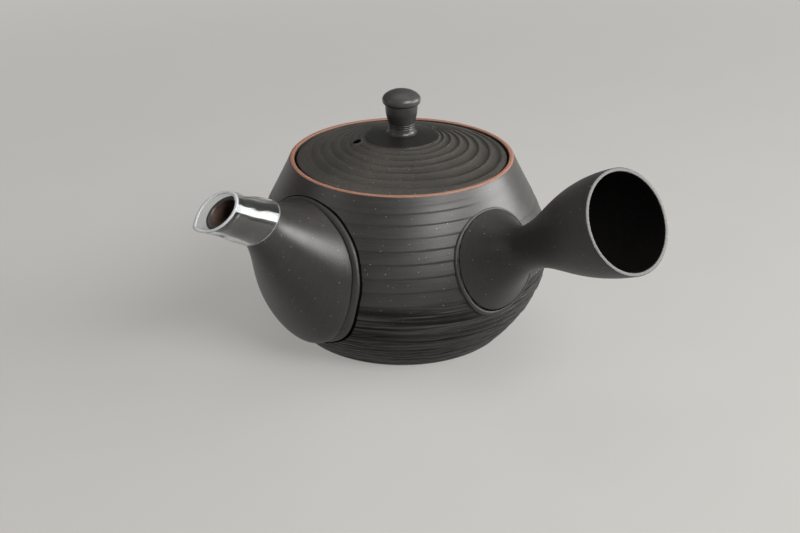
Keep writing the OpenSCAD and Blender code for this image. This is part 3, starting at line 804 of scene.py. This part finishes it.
def add(tree, kind, links=None, **settings):
    """Adds a node, gives it its settings, and links or sets its inputs."""
    node = tree.nodes.new(kind)
    for key, value in settings.items():
        setattr(node, key, value)
    for key, value in (links or {}).items():
        if isinstance(value, bpy.types.NodeSocket):
            tree.links.new(value, node.inputs[key])
        else:
            node.inputs[key].default_value = value
    return node


def new_material(name):
    """Empty material and its tree, with only the output node."""
    material = bpy.data.materials.new(name)
    material.use_nodes = True
    tree = material.node_tree
    tree.nodes.clear()
    return material, tree


def per_metre(size_mm):
    """Texture scale at which one wave or cell has that size in millimetres, on metres."""
    return 1 / (size_mm * MM)


# Stoneware: sizes of its patterns in millimetres. Streaks and scores are long round the piece, and
# their last number is how far apart they lie along it.
SMOKE_CLOUD = 22
GRIT = 0.5
STREAK = (14, 14, 0.7)
SCORE = (55, 55, 1.0)
# Sand grains: the cell that may hold one, the share of cells that do not, the radius of the largest
# as a share of its cell, and how pale it is
SAND_CELL = 1.2
SAND_NONE = 0.6
SAND_RADIUS = 0.16
SAND_SHARE = 0.75
SAND_COLOUR = "#a9a49c"
# Depth of its fine relief
RELIEF = 0.1
# Painted shadow in the scores of the lower wall
PAINTED_SCORE_SHADOW_COLOUR = "#121110"
# Painted shade and dark reflection on the boss and the knob's stem
PAINTED_SHADE_AND_REFLECTION_COLOUR = "#1a1917"
# Painted shade in creases, hollows and bored holes
PAINTED_RECESS_SHADE_COLOUR = "#0b0a0a"
CLAY_COLOURS = ("#875b49", "#ae7f6b")
STONE_IOR = 1.5


def smoked_stoneware(name, deep, pale, rough, grain):
    """Unglazed stoneware, wheel thrown and smoke fired: a soft sheen over a nearly black, slightly
    warm body, clouded by the smoke, streaked by the turning and dotted with pale sand grains. The
    bare clay that the smoke did not reach shows on the rim. Painted shade darkens the ring lines,
    creases, hollows, holes and lower wall, painted highlights lie on the lower wall's ridges, and
    painted shade and dark reflection lie on the boss and the knob's stem."""
    material, tree = new_material(name)
    where = add(tree, "ShaderNodeTexCoord").outputs["Object"]
    turned = add(tree, "ShaderNodeAttribute", attribute_name="turned").outputs["Vector"]
    crest, bare, polish, lower_wall, burnish, soot = (
        add(tree, "ShaderNodeAttribute", attribute_name=mark).outputs["Fac"]
        for mark in ("crest", "bare", "polish", "lower_wall", "burnish", "soot"))
    cloud = add(tree, "ShaderNodeTexNoise",
        {"Vector": where, "Scale": per_metre(SMOKE_CLOUD), "Detail": 3.0})
    grit = add(tree, "ShaderNodeTexNoise",
        {"Vector": where, "Scale": per_metre(GRIT), "Detail": 2.0})
    stretched = add(tree, "ShaderNodeVectorMath",
        {0: turned, 1: [1 / size for size in STREAK]}, operation="MULTIPLY")
    streak = add(tree, "ShaderNodeTexNoise",
        {"Vector": stretched.outputs[0], "Scale": 1.0, "Detail": 3.0})
    # Tone of the body between its deep and its pale colour: smoke, turning streaks and grit
    tone = add(tree, "ShaderNodeMath",
        {0: cloud.outputs[0], 1: 0.9, 2: -0.25}, operation="MULTIPLY_ADD")
    tone = add(tree, "ShaderNodeMath",
        {0: streak.outputs[0], 1: 0.5, 2: tone.outputs[0]}, operation="MULTIPLY_ADD")
    tone = add(tree, "ShaderNodeMath",
        {0: grit.outputs[0], 1: grain, 2: tone.outputs[0]}, operation="MULTIPLY_ADD")
    tone = add(tree, "ShaderNodeMath",
        {0: tone.outputs[0], 1: grain / 2}, operation="SUBTRACT")
    # Rough turning on the lower wall: painted shadow in long scores and painted highlights on the
    # ridges between them, over a lower wall that painted shade makes darker as a whole
    scored = add(tree, "ShaderNodeVectorMath",
        {0: turned, 1: [1 / size for size in SCORE]}, operation="MULTIPLY")
    score = add(tree, "ShaderNodeTexNoise",
        {"Vector": scored.outputs[0], "Scale": 1.0, "Detail": 4.0, "Roughness": 0.65})
    painted_ridge_light_and_shade = add(tree, "ShaderNodeMath",
        {0: score.outputs[0], 1: 5.0, 2: -2.9}, operation="MULTIPLY_ADD")
    tone = add(tree, "ShaderNodeMath",
        {0: painted_ridge_light_and_shade.outputs[0], 1: lower_wall, 2: tone.outputs[0]}, operation="MULTIPLY_ADD")
    painted_score_shadow = add(tree, "ShaderNodeMapRange", {0: score.outputs[0], 1: 0.58, 2: 0.4})
    painted_score_shadow = add(tree, "ShaderNodeMath",
        {0: painted_score_shadow.outputs[0], 1: lower_wall}, operation="MULTIPLY")
    # Painted shade: dark lines under the ridges of rings and steps and in the knob's grooves
    tone = add(tree, "ShaderNodeMath", {0: crest, 1: -0.35, 2: tone.outputs[0]},
        operation="MULTIPLY_ADD", use_clamp=True)
    body = add(tree, "ShaderNodeMix",
        {0: tone.outputs[0], 6: linear(deep), 7: linear(pale)}, data_type="RGBA")
    # Sand grains: pale dots of different sizes, in some of the cells
    cells = add(tree, "ShaderNodeTexVoronoi", {"Vector": where, "Scale": per_metre(SAND_CELL)})
    pick = add(tree, "ShaderNodeSeparateColor", {0: cells.outputs["Color"]})
    size = add(tree, "ShaderNodeMath",
        {0: pick.outputs[1], 1: SAND_RADIUS}, operation="MULTIPLY")
    dot = add(tree, "ShaderNodeMath",
        {0: cells.outputs["Distance"], 1: size.outputs[0]}, operation="LESS_THAN")
    few = add(tree, "ShaderNodeMath",
        {0: pick.outputs[0], 1: SAND_NONE}, operation="GREATER_THAN")
    speck = add(tree, "ShaderNodeMath",
        {0: dot.outputs[0], 1: few.outputs[0]}, operation="MULTIPLY")
    speck = add(tree, "ShaderNodeMath", {0: speck.outputs[0], 1: SAND_SHARE}, operation="MULTIPLY")
    # Each of these covers the body by its share, in this order: pale sand grains, painted shadow in
    # the scores, painted shade and dark reflection, and painted shade in creases, hollows and holes
    for share, colour in ((speck.outputs[0], SAND_COLOUR), (painted_score_shadow.outputs[0], PAINTED_SCORE_SHADOW_COLOUR),
            (polish, PAINTED_SHADE_AND_REFLECTION_COLOUR), (soot, PAINTED_RECESS_SHADE_COLOUR)):
        body = add(tree, "ShaderNodeMix",
            {0: share, 6: body.outputs[2], 7: linear(colour)}, data_type="RGBA")
    # Bare clay with a ragged edge
    clay = add(tree, "ShaderNodeMix",
        {0: grit.outputs[0], 6: linear(CLAY_COLOURS[0]), 7: linear(CLAY_COLOURS[1])},
        data_type="RGBA")
    ragged = add(tree, "ShaderNodeMath",
        {0: grit.outputs[0], 1: 0.5, 2: bare}, operation="MULTIPLY_ADD")
    ragged = add(tree, "ShaderNodeMapRange", {0: ragged.outputs[0], 1: 0.3, 2: 1.15})
    worn = add(tree, "ShaderNodeMath", {0: ragged.outputs[0], 1: bare}, operation="MULTIPLY")
    colour = add(tree, "ShaderNodeMix",
        {0: worn.outputs[0], 6: body.outputs[2], 7: clay.outputs[2]}, data_type="RGBA")
    # Sheen: none under the painted score shadow and the painted shade in creases, hollows and
    # holes, softer on bare clay and firmer where it was burnished
    sheen = add(tree, "ShaderNodeMath",
        {0: painted_score_shadow.outputs[0], 1: -0.35, 2: 0.5}, operation="MULTIPLY_ADD")
    sheen = add(tree, "ShaderNodeMath", {0: soot, 1: -0.5, 2: sheen.outputs[0]},
        operation="MULTIPLY_ADD", use_clamp=True)
    gloss = add(tree, "ShaderNodeMath",
        {0: streak.outputs[0], 1: 0.16, 2: rough - 0.08}, operation="MULTIPLY_ADD")
    gloss = add(tree, "ShaderNodeMath",
        {0: worn.outputs[0], 1: 0.3, 2: gloss.outputs[0]}, operation="MULTIPLY_ADD")
    gloss = add(tree, "ShaderNodeMath",
        {0: burnish, 1: -0.12, 2: gloss.outputs[0]}, operation="MULTIPLY_ADD")
    # Fine relief of streaks, grit and scores, which burnishing presses flat
    deep_score = add(tree, "ShaderNodeMath",
        {0: score.outputs[0], 1: lower_wall}, operation="MULTIPLY")
    relief = add(tree, "ShaderNodeMath",
        {0: grit.outputs[0], 1: 2 * grain, 2: streak.outputs[0]}, operation="MULTIPLY_ADD")
    relief = add(tree, "ShaderNodeMath",
        {0: deep_score.outputs[0], 1: 5.0, 2: relief.outputs[0]}, operation="MULTIPLY_ADD")
    firm = add(tree, "ShaderNodeMath", {0: burnish, 1: -0.45, 2: 0.6},
        operation="MULTIPLY_ADD", use_clamp=True)
    bump = add(tree, "ShaderNodeBump",
        {"Strength": firm.outputs[0], "Distance": RELIEF * MM, "Height": relief.outputs[0]})
    shader = add(tree, "ShaderNodeBsdfPrincipled",
        {"Base Color": colour.outputs[2], "Roughness": gloss.outputs[0], "IOR": STONE_IOR,
            "Specular IOR Level": sheen.outputs[0], "Normal": bump.outputs[0]})
    add(tree, "ShaderNodeOutputMaterial", {0: shader.outputs[0]})
    return material


def bare_clay():
    """Red clay, pierced and scraped by hand and fired bare: matte, grainy and a little smoked. The
    smoke lies in clouds of 9 mm, and the grit is 0.45 mm."""
    material, tree = new_material("bare_red_clay_scraped")
    where = add(tree, "ShaderNodeTexCoord").outputs["Object"]
    smoke = add(tree, "ShaderNodeTexNoise",
        {"Vector": where, "Scale": per_metre(9), "Detail": 3.0})
    grit = add(tree, "ShaderNodeTexNoise",
        {"Vector": where, "Scale": per_metre(0.45), "Detail": 2.0})
    tone = add(tree, "ShaderNodeMath",
        {0: grit.outputs[0], 1: 0.4, 2: smoke.outputs[0]}, operation="MULTIPLY_ADD")
    tone = add(tree, "ShaderNodeMapRange", {0: tone.outputs[0], 1: 0.45, 2: 0.95})
    colour = add(tree, "ShaderNodeMix",
        {0: tone.outputs[0], 6: linear("#4a352c"), 7: linear("#8a5a44")}, data_type="RGBA")
    bump = add(tree, "ShaderNodeBump",
        {"Strength": 0.6, "Distance": RELIEF * MM, "Height": grit.outputs[0]})
    shader = add(tree, "ShaderNodeBsdfPrincipled",
        {"Base Color": colour.outputs[2], "Roughness": 0.8, "IOR": STONE_IOR,
            "Normal": bump.outputs[0]})
    add(tree, "ShaderNodeOutputMaterial", {0: shader.outputs[0]})
    return material


def clear_vinyl():
    """Soft clear vinyl, extruded and cut with a blade: glossy and see-through with a slightly wavy
    skin, in waves of 4 mm, and frosted on its cut ends."""
    material, tree = new_material("clear_vinyl_extruded")
    where = add(tree, "ShaderNodeTexCoord").outputs["Object"]
    cut = add(tree, "ShaderNodeAttribute", attribute_name="cut").outputs["Fac"]
    wave = add(tree, "ShaderNodeTexNoise",
        {"Vector": where, "Scale": per_metre(4), "Detail": 1.0})
    bump = add(tree, "ShaderNodeBump",
        {"Strength": 0.25, "Distance": RELIEF * MM, "Height": wave.outputs[0]})
    gloss = add(tree, "ShaderNodeMath", {0: cut, 1: 0.4, 2: 0.05}, operation="MULTIPLY_ADD")
    clear = add(tree, "ShaderNodeBsdfPrincipled",
        {"Base Color": linear("#f6f8f8"), "Roughness": gloss.outputs[0], "IOR": 1.5,
            "Transmission Weight": 1.0, "Normal": bump.outputs[0]})
    frost = add(tree, "ShaderNodeBsdfPrincipled",
        {"Base Color": linear("#f0f3f4"), "Roughness": 0.5, "Transmission Weight": 0.3})
    share = add(tree, "ShaderNodeMath", {0: cut, 1: 0.85}, operation="MULTIPLY")
    shader = add(tree, "ShaderNodeMixShader",
        {0: share.outputs[0], 1: clear.outputs[0], 2: frost.outputs[0]})
    add(tree, "ShaderNodeOutputMaterial", {0: shader.outputs[0]})
    return material


# Floor: the distances in metres between which its even share grows, and that share at each
FLOOR_NEAR, FLOOR_FAR = 0.2, 0.75
FLOOR_EVEN_NEAR, FLOOR_EVEN_FAR = 0.5, 1.0


def pale_floor():
    """Matt pale board with a faint mottle of 40 mm. To the eye and in reflections half of it keeps
    the light and the pot's shadow and half is evenly pale, and further off all of it is. It is dim
    in the light that it throws back on the pot."""
    material, tree = new_material("pale_board_matt")
    where = add(tree, "ShaderNodeTexCoord").outputs["Object"]
    mottle = add(tree, "ShaderNodeTexNoise",
        {"Vector": where, "Scale": per_metre(40), "Detail": 4.0})
    pale = add(tree, "ShaderNodeMix",
        {0: mottle.outputs[0], 6: linear("#b4b2ae"), 7: linear("#bbb9b5")}, data_type="RGBA")
    path = add(tree, "ShaderNodeLightPath")
    seen = add(tree, "ShaderNodeMath",
        {0: path.outputs["Is Camera Ray"], 1: path.outputs["Is Glossy Ray"]}, operation="ADD")
    seen = add(tree, "ShaderNodeMath",
        {0: seen.outputs[0], 1: path.outputs["Is Transmission Ray"]},
        operation="ADD", use_clamp=True)
    colour = add(tree, "ShaderNodeMix",
        {0: seen.outputs[0], 6: linear("#5c5b59"), 7: pale.outputs[2]}, data_type="RGBA")
    board = add(tree, "ShaderNodeBsdfPrincipled",
        {"Base Color": colour.outputs[2], "Roughness": 0.85})
    even = add(tree, "ShaderNodeEmission", {0: linear("#c6c4c0"), 1: 1.0})
    away = add(tree, "ShaderNodeVectorMath", {0: where}, operation="LENGTH")
    share = add(tree, "ShaderNodeMapRange",
        {0: away.outputs["Value"], 1: FLOOR_NEAR, 2: FLOOR_FAR, 3: FLOOR_EVEN_NEAR,
            4: FLOOR_EVEN_FAR}, interpolation_type="SMOOTHSTEP")
    share = add(tree, "ShaderNodeMath",
        {0: seen.outputs[0], 1: share.outputs[0]}, operation="MULTIPLY")
    shader = add(tree, "ShaderNodeMixShader",
        {0: share.outputs[0], 1: board.outputs[0], 2: even.outputs[0]})
    add(tree, "ShaderNodeOutputMaterial", {0: shader.outputs[0]})
    return material


# Camera, light and floor

# Camera, its place in millimetres
CAMERA_AT = np.array([-351.84, -382.77, 261.34])
CAMERA_AZIMUTH = math.radians(-42.5)
CAMERA_PITCH = math.radians(24.8)
CAMERA_ROLL = math.radians(0.29)
CAMERA_LENS = 69.7
SENSOR = 36.0
# Soft boxes, in metres: name, place, width and depth, power
LAMPS = (
    ("right", (0.71, -0.59, 0.29), (0.75, 0.5), 4.6),
    ("front", (0.0, -0.75, 0.6), (0.55, 0.42), 3.9),
    ("overhead", (0.1, 0.2, 1.0), (0.9, 0.7), 0.65),
    ("left", (-0.8, 0.35, 0.4), (0.5, 0.5), 0.35))
LAMP_SPREAD = math.radians(120)
LAMP_AIM = np.array([0, 0, 0.04])
STUDIO_COLOUR = "#d8d8d6"
STUDIO_STRENGTH = 0.22
# Floor, in metres
FLOOR_REACH = 30.0
FLOOR_Z = -0.0001


def make_camera():
    """Camera where the photograph was taken from, at its lens and angle."""
    data = bpy.data.cameras.new("camera")
    data.lens = CAMERA_LENS
    data.sensor_width = SENSOR
    data.sensor_fit = "HORIZONTAL"
    camera = bpy.data.objects.new("camera", data)
    level = Euler((math.pi / 2 - CAMERA_PITCH, 0, CAMERA_AZIMUTH)).to_matrix()
    turn = level @ Matrix.Rotation(-CAMERA_ROLL, 3, "Z")
    camera.matrix_world = Matrix.Translation(CAMERA_AT * MM) @ turn.to_4x4()
    bpy.context.scene.collection.objects.link(camera)
    bpy.context.scene.camera = camera


def make_lamp(name, at, size, power):
    """Soft box of that width and depth, turned to the pot's middle."""
    data = bpy.data.lights.new(name, "AREA")
    data.shape = "RECTANGLE"
    data.size, data.size_y = size
    data.energy = power
    data.spread = LAMP_SPREAD
    lamp = bpy.data.objects.new(name, data)
    back = np.array(at) - LAMP_AIM
    azimuth = math.atan2(back[0], -back[1])
    tilt = math.atan2(math.hypot(back[0], back[1]), back[2])
    lamp.matrix_world = Matrix.Translation(at) @ Euler((tilt, 0, azimuth)).to_matrix().to_4x4()
    bpy.context.scene.collection.objects.link(lamp)


def make_stage():
    """Pale floor just under the base, and a plain soft studio round it."""
    mesh = bpy.data.meshes.new("floor")
    mesh.from_pydata([(-FLOOR_REACH, -FLOOR_REACH, FLOOR_Z), (FLOOR_REACH, -FLOOR_REACH, FLOOR_Z),
        (FLOOR_REACH, FLOOR_REACH, FLOOR_Z), (-FLOOR_REACH, FLOOR_REACH, FLOOR_Z)],
        [], [(0, 1, 2, 3)])
    mesh.materials.append(pale_floor())
    floor = bpy.data.objects.new("floor", mesh)
    bpy.context.scene.collection.objects.link(floor)
    world = bpy.data.worlds.new("studio")
    world.use_nodes = True
    background = world.node_tree.nodes["Background"]
    background.inputs["Color"].default_value = linear(STUDIO_COLOUR)
    background.inputs["Strength"].default_value = STUDIO_STRENGTH
    bpy.context.scene.world = world
    for lamp in LAMPS:
        make_lamp(*lamp)


bpy.context.scene.view_settings.view_transform = "Standard"
stoneware = smoked_stoneware(
    "black_stoneware_thrown_and_smoked", "#262422", "#45423f", rough=0.47, grain=0.4)
lid_stoneware = smoked_stoneware(
    "lid_stoneware_turned_and_smoked", "#272521", "#514d46", rough=0.48, grain=1.2)
knob_stoneware = smoked_stoneware(
    "knob_stoneware_turned_and_burnished", "#2a2928", "#504e4c", rough=0.4, grain=0.2)
make_pot(stoneware)
make_spout(stoneware)
make_bead("spout_slip_bead", SPOUT_BEAD, SPOUT_BEAD_FULL,
    (SPOUT_Z, SPOUT_TILT, SPOUT_HALF_W, SPOUT_HALF_H), 0.0, SPOUT_BEAD_SEED, stoneware)
make_handle(stoneware)
make_bead("handle_slip_bead", HANDLE_BEAD, HANDLE_BEAD_FULL,
    (HANDLE_Z, HANDLE_TILT, HANDLE_BASE_R, HANDLE_BASE_R), HANDLE_TURN, HANDLE_BEAD_SEED, stoneware)
make_lid(lid_stoneware)
make_knob(knob_stoneware)
make_guard(clear_vinyl())
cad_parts["strainer"].data.materials.clear()
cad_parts["strainer"].data.materials.append(bare_clay())
make_camera()
make_stage()
